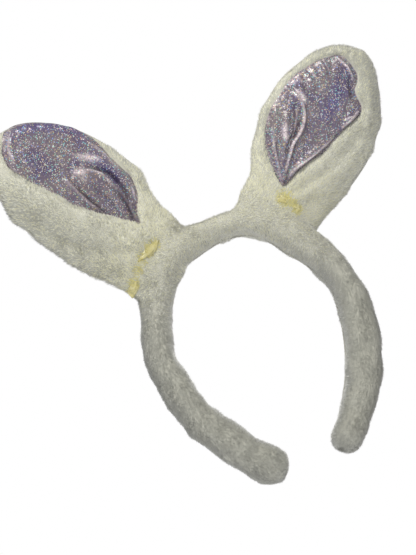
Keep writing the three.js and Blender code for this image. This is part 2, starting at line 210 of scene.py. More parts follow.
def pairs(rows, columns):
    """Every row's value with every column's, as two flat arrays."""
    return (values.ravel() for values in np.meshgrid(rows, columns, indexing="ij"))


def unit(vectors):
    """Rows scaled to length one."""
    return vectors / np.maximum(np.linalg.norm(vectors, axis=1), 1e-9)[:, None]


def make_object(name, verts, faces, material):
    """A smooth object from points in metres and a list or array of faces."""
    mesh = bpy.data.meshes.new(name)
    mesh.from_pydata([tuple(v) for v in verts], [], [tuple(f) for f in faces])
    mesh.validate()
    mesh.polygons.foreach_set("use_smooth", [True] * len(mesh.polygons))
    mesh.materials.append(material)
    return add_object(name, mesh)


def ring_quads(rows, columns):
    """Quads between neighbouring rings of points."""
    i, j = np.meshgrid(np.arange(rows - 1), np.arange(columns), indexing="ij")
    k = (j + 1) % columns
    corners = [i * columns + j, i * columns + k, (i + 1) * columns + k, (i + 1) * columns + j]
    return np.stack(corners, -1).reshape(-1, 4)


def read(items, key, width, kind=float):
    """One property of all of a mesh's items, with width numbers in a row."""
    values = np.empty(len(items) * width, kind)
    items.foreach_get(key, values)
    return values.reshape(-1, width)


def surface(piece):
    """Points, normals and triangles of a mesh, as arrays."""
    mesh = piece.data
    mesh.calc_loop_triangles()
    return (read(mesh.vertices, "co", 3), read(mesh.vertices, "normal", 3),
            read(mesh.loop_triangles, "vertices", 3, int))


def loft(name, grid, material):
    """A closed piece, facing outwards, from rings of points in metres, with a fan over each end."""
    rows, columns = grid.shape[:2]
    middle, last = rows * columns, (rows - 1) * columns
    verts = np.vstack([grid.reshape(-1, 3), grid[0].mean(0)[None], grid[-1].mean(0)[None]])
    faces = list(ring_quads(rows, columns))
    faces += [(middle, (c + 1) % columns, c) for c in range(columns)]
    faces += [(middle + 1, last + c, last + (c + 1) % columns) for c in range(columns)]
    piece = make_object(name, verts, faces, material)
    co, _, tris = surface(piece)
    a, b, c = (co[tris[:, k]] for k in range(3))
    if np.einsum("ij,ij->i", a, np.cross(b, c)).sum() < 0:
        piece.data.flip_normals()
    return piece


def tube(name, line, radius, material, sides):
    """A closed round tube along a line of points in metres."""
    tangents = np.gradient(line, axis=0)
    tangents /= np.linalg.norm(tangents, axis=1)[:, None]
    across = np.cross(tangents[0], (0.3, 0.9, 0.31))
    cos, sin = np.cos(circle(sides))[:, None], np.sin(circle(sides))[:, None]
    rings = []
    for point, tangent in zip(line, tangents):
        across = across - tangent * (across @ tangent)
        across /= np.linalg.norm(across)
        rings.append(point + radius * (cos * across + sin * np.cross(tangent, across)))
    return loft(name, np.array(rings), material)


# ---- materials

def new_material(name, color, roughness, **sockets):
    """A Principled material with constant sockets set on the shader itself."""
    material = bpy.data.materials.new(name)
    material.use_nodes = True
    shader = material.node_tree.nodes["Principled BSDF"]
    shader.inputs["Base Color"].default_value = (*color, 1)
    shader.inputs["Roughness"].default_value = roughness
    for socket, value in sockets.items():
        shader.inputs[socket.replace("_", " ")].default_value = value
    return material, material.node_tree, shader


def coordinates(tree, kind):
    """Texture coordinates in mm."""
    source = add_node(tree, "TexCoord").outputs[kind]
    return add_node(tree, "Mapping", {"Vector": source, "Scale": (1000, 1000, 1000)}).outputs["Vector"]


def noise(tree, vector, scale, detail, distortion=0.0):
    inputs = {"Vector": vector, "Scale": scale, "Detail": detail, "Distortion": distortion}
    return add_node(tree, "TexNoise", inputs).outputs["Fac"]


def ramp(tree, value, stops, interpolation="LINEAR"):
    node = add_node(tree, "ValToRGB", {"Fac": value})
    node.color_ramp.interpolation = interpolation
    while len(node.color_ramp.elements) < len(stops):
        node.color_ramp.elements.new(0.5)
    for element, (place, color) in zip(node.color_ramp.elements, stops):
        element.position = place
        element.color = (*color, 1)
    return node.outputs["Color"]


def mix_colors(tree, share, first, second, kind="MIX"):
    """A colour mix. Its share and colours can be sockets or plain values."""
    node = add_node(tree, "Mix")
    node.data_type = "RGBA"
    node.blend_type = kind
    feed(tree, node, {0: share, 6: first, 7: second})
    return node.outputs[2]


def bump(tree, shader, height, strength, distance):
    node = add_node(tree, "Bump", {"Height": height, "Strength": strength, "Distance": distance})
    feed(tree, shader, {"Normal": node.outputs["Normal"]})


def mottled(name, dark, light, size, grain, roughness, strength=0.4, **sockets):
    """A material with soft patches of two colours and a fine bumpy grain."""
    material, tree, shader = new_material(name, light, roughness, **sockets)
    vector = coordinates(tree, "Object")
    patches = noise(tree, vector, 1 / size, 4)
    feed(tree, shader, {"Base Color": ramp(tree, patches, [(0.3, dark), (0.7, light)])})
    bump(tree, shader, noise(tree, vector, 1 / grain, 2), strength, 0.0004)
    return material


# Pile tones: three darker grey ones that paint shade, three pale ones, a warm one and the glue's stain.
PLUSH_SHADES = [
    (0.57, 0.57, 0.512), (0.55, 0.55, 0.492), (0.59, 0.59, 0.532),
    (0.88, 0.875, 0.765), (0.84, 0.835, 0.73), (0.93, 0.93, 0.84),
    (0.93, 0.91, 0.69),
    (0.86, 0.79, 0.33),
]
SHADOW_TONES, PALE_TONES = 0, 3  # three tones each
WARM_SHADE, STAIN_SHADE = 6, 7


# Share of the dots below which each hue starts, and the same for how brightly they shine: glints painted
# into the base colour.
GLITTER_HUES = [(0.0, (0.95, 0.92, 0.86)), (0.22, (0.95, 0.80, 0.35)), (0.36, (0.30, 0.88, 0.95)),
                (0.5, (1.0, 0.95, 1.0)), (0.68, (0.28, 0.42, 1.0)), (0.80, (0.95, 0.55, 0.35)),
                (0.90, (0.45, 0.92, 0.60))]
GLITTER_LIT = [(0.0, (0, 0, 0)), (0.38, (0.4, 0.4, 0.4)), (0.60, (1, 1, 1))]
GLITTER_CELL = 1.55  # dots per mm


def glitter_material():
    """Crinkled lavender cloth: mauve with violet patches, painted highlights on its crests, painted shade in
    its creases, and dots of holographic glitter with painted glints.
    """
    material, tree, shader = new_material("lavender_glitter", (0.2, 0.17, 0.24), 0.36, Metallic=0.15,
                                          Coat_Weight=0.25, Coat_Roughness=0.22)
    vector = coordinates(tree, "UV")
    # Painted highlight in red, painted shade in green and the cloth's violet bands in blue, from a colour
    # attribute of the mesh.
    painted_fold_light_and_violet = add_node(tree, "Attribute")
    painted_fold_light_and_violet.attribute_name = "painted_fold_light_and_violet"
    tones = add_node(tree, "SeparateColor", {"Color": painted_fold_light_and_violet.outputs["Color"]}).outputs
    patches = noise(tree, vector, 0.055, 3, 0.5)
    cloth = ramp(tree, patches, [(0.34, (0.115, 0.088, 0.168)), (0.48, (0.172, 0.134, 0.182)),
                                 (0.66, (0.222, 0.184, 0.212))])
    cloth = mix_colors(tree, tones["Blue"], cloth, (0.095, 0.070, 0.215, 1))
    # Painted highlights: pinkish white along the crests, broken up by noise.
    sheen = noise(tree, vector, 1.1, 4)
    broken = ramp(tree, sheen, [(0.36, (0.2, 0.2, 0.2)), (0.54, (1, 1, 1))])
    painted_streak = mix_colors(tree, 1.0, tones["Red"], broken, "MULTIPLY")
    cloth = mix_colors(tree, painted_streak, cloth, (0.95, 0.82, 0.88, 1))
    # Glitter dots whose sparkle is painted into the base colour as painted glints, in holographic hues.
    cells = add_node(tree, "TexVoronoi", {"Vector": vector, "Scale": GLITTER_CELL}).outputs
    chance = add_node(tree, "SeparateColor", {"Color": cells["Color"]}).outputs
    hue = ramp(tree, chance["Red"], GLITTER_HUES, "CONSTANT")
    lit = ramp(tree, chance["Green"], GLITTER_LIT, "CONSTANT")
    dot = ramp(tree, cells["Distance"], [(0.30, (1, 1, 1)), (0.46, (0, 0, 0))])
    cloth = mix_colors(tree, mix_colors(tree, 1.0, lit, dot, "MULTIPLY"), cloth, hue)
    # Painted shade, multiplied in along the creases and the tucked edge.
    dark = ramp(tree, tones["Green"], [(0.0, (1, 1, 1)), (1.0, (0.16, 0.12, 0.17))])
    feed(tree, shader, {"Base Color": mix_colors(tree, 1.0, cloth, dark, "MULTIPLY")})
    bump(tree, shader, noise(tree, vector, 0.9, 3), 0.35, 0.0003)
    return material


def thread_material(name, color):
    """Thread with a twist, seen as fine slanted bands."""
    material, tree, shader = new_material(name, color, 0.6)
    inputs = {"Vector": coordinates(tree, "Object"), "Scale": 1.2, "Distortion": 2}
    twist = add_node(tree, "TexWave", inputs).outputs["Fac"]
    bands = ramp(tree, twist, [(0.2, tuple(c * 0.75 for c in color)), (0.8, color)])
    feed(tree, shader, {"Base Color": bands})
    bump(tree, shader, twist, 0.5, 0.0002)
    return material


# One plain material for each shade of pile, so that tufts differ in colour.
PILE = [new_material(f"plush_pile_{index}", color, 0.7, Sheen_Weight=1.0, Sheen_Roughness=0.5)[0]
        for index, color in enumerate(PLUSH_SHADES)]
SKIN = mottled("plush_backing", (0.61, 0.605, 0.53), (0.66, 0.655, 0.575), 9, 0.6, 0.95, Sheen_Weight=0.3)
# The hoop's backing is a darker copy of the ears', as painted shade to go with its darker pile.
SHADED_SKIN = mottled("shaded_sleeve_backing", (0.525, 0.52, 0.46), (0.56, 0.555, 0.495), 9, 0.6, 0.95,
                      Sheen_Weight=0.3)
GLITTER = glitter_material()
THREAD = thread_material("white_thread", (0.75, 0.74, 0.68))
LILAC_THREAD = thread_material("lilac_thread", (0.62, 0.55, 0.62))
FOAM = mottled("foam", (0.70, 0.66, 0.48), (0.82, 0.79, 0.62), 3, 0.5, 0.9, 0.8)
FIBRE = mottled("stuffing_fibre", (0.80, 0.80, 0.77), (0.92, 0.92, 0.90), 4, 0.3, 1.0, 0.8)
PLASTIC = mottled("core_plastic", (0.80, 0.80, 0.75), (0.87, 0.87, 0.82), 14, 1.5, 0.38, 0.15)
STEEL = mottled("wire_steel", (0.42, 0.43, 0.45), (0.62, 0.63, 0.65), 5, 0.3, 0.3, 0.15, Metallic=1.0)
TAPE = mottled("cloth_tape", (0.70, 0.66, 0.54), (0.82, 0.79, 0.68), 2, 0.4, 0.75, 0.6)
GLUE = mottled("hot_glue", (0.66, 0.58, 0.22), (0.84, 0.79, 0.46), 2.5, 0.9, 0.22, 0.5, Coat_Weight=0.6,
               Transmission_Weight=0.15)


# ---- pile

PILE_PER_MM2 = 3.9
PILE_KEPT_ON_BAND = 0.85
BAND_PILE, EAR_PILE = 2.0, 2.2  # length in mm
PILE_WIDTHS = (0.24, 0.40)      # radius of a tuft's foot
PILE_ROOT = 0.4                 # how deep a tuft starts in the skin
PILE_LEAN = 0.9


def scatter(piece, per_mm2, seed):
    """Random points on a piece, spread evenly by area, with their smooth normals."""
    co, no, tris = surface(piece)
    rng = np.random.default_rng(seed)
    a, b, c = (co[tris[:, k]] for k in range(3))
    area = np.linalg.norm(np.cross(b - a, c - a), axis=1) / 2
    count = int(area.sum() / MM**2 * per_mm2)
    t = tris[rng.choice(len(tris), count, p=area / area.sum())]
    u, v = rng.uniform(size=(2, count, 1))
    flip = u + v > 1
    u, v = np.where(flip, 1 - u, u), np.where(flip, 1 - v, v)
    points, normals = (part[t[:, 0]] * (1 - u - v) + part[t[:, 1]] * u + part[t[:, 2]] * v
                       for part in (co, no))
    return points, unit(normals)


def make_pile(name, points, normals, nap, length, warm, shaded, seed, stains):
    """Tapered tufts of pile, each a closed three-sided spike that leans with the nap."""
    rng = np.random.default_rng(seed)
    count = len(points)
    nap = unit(nap - normals * np.einsum("ij,ij->i", nap, normals)[:, None])
    sway = rng.normal(size=(count, 3)) * 0.22
    clump = np.stack([waves(points, 0.007, seed + k) for k in range(3)], 1) * 0.12
    heading = unit(normals + nap * PILE_LEAN + sway + clump)
    tall = length * MM * rng.uniform(0.7, 1.15, count) * (1 + 0.12 * waves(points, 0.012, seed + 5))
    wide = rng.uniform(*PILE_WIDTHS, count) * MM
    across = unit(np.cross(heading, rng.normal(size=(count, 3))))
    other = np.cross(heading, across)
    root = points - normals * PILE_ROOT * MM
    corners = [root + wide[:, None] * (math.cos(angle) * across + math.sin(angle) * other)
               for angle in circle(3)]
    tip = root + heading * tall[:, None]
    verts = np.stack([*corners, tip], 1).reshape(-1, 3)
    base = np.arange(count)[:, None] * 4
    sides = [[0, 1, 3], [1, 2, 3], [2, 0, 3], [2, 1, 0]]
    faces = np.concatenate([base + side for side in sides], 1).reshape(-1, 3)

    mesh = bpy.data.meshes.new(name)
    mesh.vertices.add(len(verts))
    mesh.vertices.foreach_set("co", verts.ravel())
    mesh.loops.add(faces.size)
    mesh.loops.foreach_set("vertex_index", faces.ravel())
    mesh.polygons.add(len(faces))
    mesh.polygons.foreach_set("loop_start", np.arange(len(faces)) * 3)
    mesh.update(calc_edges=True)
    mesh.polygons.foreach_set("use_smooth", np.ones(len(faces), bool))
    for material in PILE:
        mesh.materials.append(material)
    tone = waves(points, 0.010, seed + 9) * 0.25 + rng.normal(size=count) * 0.8
    shade = np.array([1, 0, 2])[np.digitize(tone, [-0.7, 0.5])]
    # Painted shade: darker grey tones take the place of pale ones where the shaded share says so.
    shade += np.where(rng.uniform(size=count) < shaded, SHADOW_TONES, PALE_TONES)
    shade = np.where(rng.uniform(size=count) < warm, WARM_SHADE, shade)
    for place, radius in stains:
        near = np.linalg.norm(points - np.array(place), axis=1) < radius * rng.uniform(0.6, 1.15, count)
        shade = np.where(near, STAIN_SHADE, shade)
    mesh.polygons.foreach_set("material_index", np.repeat(shade, 4))
    soft = unit(normals + heading * 0.30 + rng.normal(size=(count, 3)) * 0.18)
    mesh.normals_split_custom_set_from_vertices([tuple(n) for n in np.repeat(soft, 4, axis=0)])
    made = add_object(name, mesh)
    return made


# ---- hoop

BAND_ARCS = ((56, math.radians(49.5)), (83, math.radians(53.6)), (114, math.radians(35)))
BAND_LENGTH = sum(radius * angle for radius, angle in BAND_ARCS)
CROWN_HEIGHT = 10.5
SLEEVE_DEPTH = 12.8
FOAM_DEPTH, FOAM_INSET = 11.0, 1.8
TIP_DOMES = {"right": 9.0, "left": 11.0}  # how far the sleeve's round tips go past the centreline's end
SLEEVE_SQUARE = {"right": 0.78, "left": 0.92}  # sections are round at 1 and squarer below it
FOAM_SQUARE = 0.86
LUMPS = 0.4
BLEND_ARC = (66, 110)  # stretch of the hoop between the crown and a leg, along the centreline

# Thickness of the sleeve each side of the hoop's centreline, as [arc, outwards, inwards].
SLEEVE = {
    "right": [[0, 4.6, 9.3], [12, 5.0, 8.0], [24, 7.5, 7.4], [36, 9.3, 8.8], [52, 9.3, 11.2],
              [64, 9.3, 10.0], [78, 8.4, 8.8], [92, 8.0, 7.2], [106, 8.4, 9.0], [124, 9.0, 10.2],
              [142, 9.8, 10.4], [158, 9.6, 10.0], [174, 8.8, 9.4], [186, 8.8, 8.2], [196, 8.6, 8.8]],
    "left": [[0, 4.6, 9.3], [12, 5.0, 10.4], [24, 7.5, 10.4], [36, 9.3, 8.2], [52, 9.3, 9.2],
             [64, 9.3, 10.0], [78, 8.2, 9.3], [92, 9.2, 9.5], [106, 8.9, 7.8], [124, 9.2, 9.2],
             [142, 9.4, 9.0], [152, 10.2, 9.6], [166, 8.9, 10.6], [180, 9.6, 10.2], [196, 10.6, 10.0]],
}


def band_frame(arc):
    """Point, outward normal and tangent of the right half of the centreline, in mm, at each arc length."""
    arc = np.array(arc, float)
    left = arc.copy()
    heading = np.zeros(len(arc))
    x = np.zeros(len(arc))
    z = np.full(len(arc), CROWN_HEIGHT)
    for radius, angle in BAND_ARCS:
        turn = np.clip(left / radius, 0, angle)
        x += radius * (np.sin(heading + turn) - np.sin(heading))
        z += radius * (np.cos(heading + turn) - np.cos(heading))
        heading += turn
        left -= radius * turn
    past = np.maximum(arc - BAND_LENGTH, 0)
    x += past * np.cos(heading)
    z -= past * np.sin(heading)
    zero = np.zeros(len(arc))
    point = np.stack([x, zero, z], 1)
    normal = np.stack([np.sin(heading), zero, np.cos(heading)], 1)
    tangent = np.stack([np.cos(heading), zero, -np.sin(heading)], 1)
    return point, normal, tangent


def band_grid(label, depth, inset, end, dome, square, columns=44, step=2.2, lumps=0.0):
    """Rings of points round one half of the hoop, from the crown to its closed tip, in metres."""
    side = SIDES[label]
    straight = np.arange(0, end, step)
    turn = np.linspace(0, np.pi / 2, 9)[:-1]
    arcs = np.concatenate([straight, end + dome * np.sin(turn)])
    scale = np.concatenate([np.ones(len(straight)), np.cos(turn) ** 0.8])[:, None]
    point, normal, _ = band_frame(arcs)
    cos, sin = np.cos(circle(columns)), np.sin(circle(columns))
    out = np.sign(cos) * np.abs(cos) ** square
    front = -np.sign(sin) * np.abs(sin) ** square
    profile = catmull(SLEEVE[label])
    outer, inner = (np.interp(arcs, profile[:, 0], profile[:, k])[:, None] - inset for k in (1, 2))
    radial = np.where(out > 0, outer, inner) * out * scale
    across = depth * scale * front
    if lumps:
        around = np.broadcast_to(out * 8, radial.shape)
        flat = np.stack([np.repeat(arcs[:, None], columns, 1) * side, around, across], -1).reshape(-1, 3)
        swell = waves(flat, 24, 41) * lumps + waves(flat, 9, 42) * lumps * 0.4
        swell = np.clip(swell, -2 * lumps, 2 * lumps).reshape(radial.shape)
        radial += swell * out
        across += swell * front
    grid = point[:, None] + normal[:, None] * radial[..., None]
    grid[..., 1] += across
    grid[..., 0] *= side
    return grid * MM


def whole_band():
    """Rings of the sleeve from the left tip over the crown to the right one."""
    right, left = (band_grid(label, SLEEVE_DEPTH, 0, BAND_LENGTH, TIP_DOMES[label],
                             SLEEVE_SQUARE[label], lumps=LUMPS) for label in SIDES)
    middle = (right[:1] + left[:1]) / 2
    return np.concatenate([left[:0:-1], middle, right[1:]])


def leg_blend(piece, label):
    """Works out the ends of the stretch between the crown and a leg, and bakes the piece's transform into
    its mesh.
    """
    ends, _, _ = band_frame(BLEND_ARC)
    ends = ends * MM
    ends[:, 0] *= SIDES[label]
    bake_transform(piece)


def band_nap(points):
    """Direction of the nap on the hoop: along it on the outside, and round to the back on the inner face."""
    side = np.where(points[:, 0] < 0, -1, 1)
    local = points / MM
    arcs = np.linspace(0, BAND_LENGTH, 120)
    centre, normal, tangent = band_frame(arcs)
    flat = np.stack([local[:, 0] * side, local[:, 2]], 1)
    near = np.argmin(((flat[:, None] - centre[None, :, [0, 2]]) ** 2).sum(2), 1)
    inward = ((centre[near][:, [0, 2]] - flat) * normal[near][:, [0, 2]]).sum(1)
    under = smoothstep(0, 7, inward)[:, None]
    nap = tangent[near] * (1 - 0.55 * under)
    nap[:, 0] *= side
    nap[:, 1:2] += 0.9 * under - 0.3 * (1 - under)
    return nap


def make_band_inside(label):
    """The foam strip and the seam of one half of the hoop."""
    grid = band_grid(label, FOAM_DEPTH, FOAM_INSET, BAND_LENGTH - 1, 4, FOAM_SQUARE, columns=28, step=5)
    foam = loft(f"foam_strip_{label}", grid, FOAM)
    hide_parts(f"{label}_leg_padding", *(["crown_padding"] if label == "left" else []))
    leg_blend(foam, label)

    arcs = np.arange(1, BAND_LENGTH - 2, 1.5)
    centre, normal, _ = band_frame(arcs)
    profile = catmull(SLEEVE[label])
    line = centre - normal * (np.interp(arcs, profile[:, 0], profile[:, 2]) + 0.35)[:, None]
    line[:, 1] += 4 + 0.35 * np.where(np.arange(len(arcs)) % 2, 1, -1)
    line[:, 0] *= SIDES[label]
    seam = tube(f"sleeve_seam_{label}", line * MM, 0.4 * MM, THREAD, 6)
    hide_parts(f"{label}_leg_seam", *(["crown_seam"] if label == "left" else []))
    leg_blend(seam, label)


# ---- ears

JOINTS = {j["name"]: j for j in frame["joints"]}
TILT_UP = 21
EAR_FOOT = 12   # height over the hoop's centreline where an ear's plush meets the sleeve
EAR_SPLIT = 45  # where the root piece of an ear's plush meets the upper one
SKIN_INSET = 0.9    # how far the skin lies inside the plush's outline
PANEL_HOLLOW = 3.4  # depth of the hollow that the panel lies in
PANEL_TUCK = 1.6    # how far the panel's edge lies below the plush
CLOTH_THICKNESS = 0.5
STUFFING_DEPTH, STUFFING_INSET = 2.3, 8

# Half widths of each ear's plush as [up, width], from the hoop's centreline.
EDGES = {
    "right": ([[-9, 35], [-3, 32.8], [4, 31.6], [14, 31.6], [21, 31.2], [27, 32.2], [38, 37], [52, 40],
               [64, 41.4], [76, 40.5], [88, 38], [100, 32.5], [108, 28], [115, 22], [120, 16], [124, 6],
               [124.8, 0]],
              [[-9, 24], [0, 25], [14, 26.6], [24, 29], [38, 32.8], [52, 36], [66, 37.8], [80, 36.6],
               [92, 33.8], [102, 28.8], [111, 22.8], [119, 15.5], [123.6, 8], [124.8, 0]]),
    "left": ([[-9, 20], [-2, 24], [5, 27], [14, 30], [22, 29.8], [27, 31.2], [38, 38.5], [48, 42.5],
              [64, 43], [80, 41.8], [92, 38.6], [104, 33], [114, 26], [122, 18], [128, 8], [129.5, 0]],
             [[-9, 26], [0, 33], [10, 35], [18, 34.6], [30, 35.8], [45, 38.8], [60, 38.6], [76, 38.5],
              [90, 36.6], [102, 33.4], [112, 27.5], [120, 19], [126.5, 10], [129.5, 0]]),
}
# Glitter cloth panels, as [across, up]. Across is negative towards the crown.
PANELS = {
    "right": [[-8.4, 24], [-14.8, 28], [-23.2, 34.6], [-30, 42], [-35, 51], [-37.4, 60], [-37.8, 69],
              [-36.6, 78], [-34, 87], [-30, 96], [-24.5, 104.5], [-18, 111.5], [-11, 116], [-3, 115.2],
              [4, 111.6], [7.6, 106.4], [8.4, 101], [12.2, 97.6], [17, 94], [18.8, 88], [15.6, 79.8],
              [12.1, 72.5], [9.8, 64.5], [5.8, 53.8], [0.2, 44.1], [-4.2, 34]],
    "left": [[-7.4, 27], [-12, 32.8], [-19.5, 36], [-26.6, 40.2], [-32, 46], [-35.2, 53], [-36.6, 62],
             [-38.4, 71], [-39.4, 80], [-38.4, 90], [-35.4, 100], [-30, 110], [-22.6, 119], [-14.6, 125],
             [-5, 127.2], [4.5, 123.6], [10.8, 116], [12, 107], [11.1, 98], [10.2, 90], [9, 81], [7.6, 69],
             [4.2, 57.4], [1.4, 50], [-1.2, 43], [-4.2, 35.5]],
}
PANEL_SPINE = ((-9, 46), (-12, 96))  # the line that a panel's rings of points close in on
# Each fold is a line, its height, and how wide it is on its left and on its right.
FOLDS = {
    "right": [
        ([[-34, 66], [-31, 53], [-26, 45], [-19, 36.5], [-11, 26]], 1.6, 1.2, 2.0),
        ([[-30, 81], [-21.7, 76.5], [-16, 69], [-14.4, 60], [-15.1, 51], [-13.6, 41], [-9.8, 27]],
         3.2, 1.4, 3.4),
        ([[-24, 74], [-19.6, 66.5], [-17.6, 57], [-17.6, 47], [-13.6, 36]], -2.2, 1.5, 1.2),
        ([[-27, 66], [-24, 57], [-19.2, 48], [-14, 37]], 1.5, 2.2, 1.6),
        ([[-8.6, 28], [-5.6, 39], [0, 50.5], [7.2, 67]], 3.4, 3.2, 1.0),
        ([[9, 72], [12.3, 80], [15.4, 88], [14.5, 91]], 2.8, 2.6, 1.0),
        ([[0, 104], [4.6, 98], [10, 94]], -1.8, 2.0, 1.2),
        ([[-12, 113], [-3.9, 109.5], [4.4, 103.5]], 2.2, 2.4, 0.9),
        ([[-30, 86], [-22, 82], [-18.5, 76]], 1.3, 2.4, 1.4),
        ([[-27, 98], [-18, 93]], -0.9, 1.4, 1.6),
        ([[-21, 106], [-14, 99]], 0.9, 1.4, 1.4),
    ],
    "left": [
        ([[-9, 79.5], [-14.4, 76.4], [-18.2, 67], [-16.4, 56], [-14.2, 48], [-6.6, 30]], 3.6, 3.4, 1.0),
        ([[-21, 72], [-24, 62], [-21.6, 50], [-14.6, 40]], -2.2, 1.5, 1.2),
        ([[-2, 84], [0.6, 72], [2, 60], [1.6, 51]], 2.2, 1.2, 3.2),
        ([[-3.6, 80], [-1.2, 68], [-0.6, 55]], -2.0, 1.2, 1.4),
        ([[-19, 85], [-24.5, 76], [-27, 69]], 1.6, 2.0, 1.8),
        ([[-31, 85], [-31, 73], [-29.6, 62], [-27.6, 49], [-21.6, 40]], 2.4, 2.2, 2.0),
        ([[-34, 70], [-36.4, 80], [-35.6, 90], [-32, 100], [-26, 110], [-18, 119], [-9, 123.4]],
         4.4, 2.2, 6.5),
        ([[-10, 124], [0, 120.6], [7, 114], [9.6, 104]], 1.6, 1.6, 1.1),
    ],
}
# Painted highlights on the cloth's crests and painted shade in its creases: a line, its width and how strong
# it is.
PAINTED_HIGHLIGHTS = {
    "right": [
        ([[-30.8, 55], [-26, 46], [-19.7, 38], [-12.7, 28.5]], 0.7, 0.7),
        ([[-30, 80], [-22, 77], [-16.4, 69.5], [-14.6, 60], [-15.3, 51], [-13.8, 41], [-10.6, 29]],
         0.75, 0.9),
        ([[-22.6, 73], [-19.3, 67], [-17.6, 59]], 0.5, 0.7),
        ([[-25.2, 60.5], [-23.6, 56.5], [-20.6, 51]], 1.25, 1.0),
        ([[-28, 81.6], [-23.5, 80.4], [-19.6, 77.4]], 1.7, 1.0),
        ([[-9.6, 31], [-6.2, 40], [0.6, 51.6], [7.4, 66.6]], 0.8, 0.9),
        ([[9.6, 74.5], [12.3, 81], [14.8, 89]], 0.6, 0.9),
        ([[12.6, 78], [15.6, 86.6]], 0.7, 0.8),
        ([[-11.8, 112.6], [-3.9, 109.8], [3.8, 104.8]], 0.6, 0.8),
        ([[-30, 91], [-24, 88]], 0.6, 0.4),
        ([[-26, 99.5], [-19, 95]], 0.6, 0.4),
        ([[-19, 107.5], [-13, 102]], 0.6, 0.4),
    ],
    "left": [
        ([[-9, 81], [-11.6, 78], [-9.8, 74]], 2.4, 0.9),
        ([[-19.5, 84.6], [-24.5, 76], [-26.6, 71]], 2.0, 0.9),
        ([[-13, 77.5], [-18, 68], [-16, 57], [-14, 48.4], [-7, 32]], 0.7, 0.8),
        ([[-1.6, 83], [0.6, 72], [2.4, 57.5]], 0.8, 0.5),
        ([[-31.6, 82], [-31.4, 70], [-29, 58]], 0.8, 0.5),
        ([[-25, 46], [-19.6, 39.4]], 0.8, 0.6),
        ([[-7.6, 125], [1, 121.5], [7.4, 115]], 0.6, 0.6),
    ],
}
PAINTED_CREASE_SHADE = {
    "right": [
        ([[-21.5, 72], [-18.2, 65], [-16.6, 57], [-17.4, 48], [-13.6, 37]], 1.1, 0.8),
        ([[-28.6, 52], [-22.6, 42.6], [-14.5, 31.5]], 0.9, 0.6),
        ([[-6.6, 28], [-3, 38.6], [2.4, 48.6], [8.6, 63]], 1.0, 1.0),
        ([[10.8, 74], [13.8, 80.6], [17, 88]], 0.6, 0.7),
        ([[-9.4, 24.5], [-10.4, 30], [-12.4, 37]], 0.9, 0.8),
        ([[0, 104.6], [4, 99], [9.4, 95.4]], 1.0, 0.5),
        ([[-13.4, 60], [-13.6, 50], [-11.6, 38]], 0.8, 0.5),
    ],
    "left": [
        ([[-16, 62], [-15, 53], [-12, 45], [-7, 35.4], [-5, 29]], 1.7, 1.0),
        ([[-1.6, 79], [0, 66.4], [0.4, 51]], 1.5, 1.0),
        ([[-17, 75], [-23.6, 63], [-21.4, 50.6], [-14.6, 41]], 1.4, 0.8),
        ([[-9, 70], [-8, 58], [-5, 46]], 1.4, 0.35),
        ([[3.4, 60], [1.4, 50], [-2, 40]], 0.9, 0.6),
        ([[-18, 66], [-18, 56]], 0.9, 0.6),
    ],
}
# Smooth violet bands of the cloth, given in the same way.
VIOLET = {
    "right": [([[-6, 70], [-2, 86], [-4, 100]], 6, 0.8)],
    "left": [([[-36, 84], [-32, 98], [-24, 110], [-13, 121], [-2, 122]], 4.5, 0.8),
             ([[-25, 78], [-25, 62], [-20, 50]], 3.5, 0.8)],
}
# Crest of the plump roll of plush along the outer edge, as [across, up].
ROLLS = {
    "right": [[-1, 20], [3.5, 25.6], [9.3, 34.5], [16.6, 45.3], [22, 58], [24.4, 70.5], [23.6, 80.5],
              [19.3, 92], [14, 104]],
    "left": [[-3.2, 14], [0.4, 27.3], [4.8, 42.1], [7.4, 56], [10, 72], [13.4, 88], [14.6, 100], [13, 112]],
}
# Valley in the plush below the roll, and its depth and width.
CREASES = {
    "right": ([[24, 34], [29, 52], [31, 68]], 1.3, 2.4),
    "left": ([[13, 27], [21, 40], [27, 54], [31, 70], [30, 84]], 2.3, 3.4),
}
# Hot glue on the plush: name of the CAD piece, [across, up], half sizes and its turn in degrees.
GLUE_MARKS = {
    "right": [("glue_blob", (-5.4, 17.4), (3.4, 2.3), 12), ("glue_drop", (5.2, 16.6), (2.1, 1.7), -35)],
    "left": [("glue_line", (5, 17.4), (7.4, 2.4), 14), ("glue_drop", (31.5, 14.6), (3.6, 2.4), -14)],
}
GLUE_LEVEL = 0.35  # height of a bead's middle over the plush's skin
WELL_AHEAD = 40    # a height in front of all of an ear's plush
# Yellowed pile round the glue, as [across, up, radius].
STAINS = {
    "right": [(-5, 17.6, 6.5), (0.5, 17, 3.5), (5, 15, 4)],
    "left": [(-1, 15, 4.0), (5, 17.6, 5.0), (12, 18.8, 4.5), (20, 18, 4.0), (28, 15.6, 4.0), (34, 14, 4.0)],
}


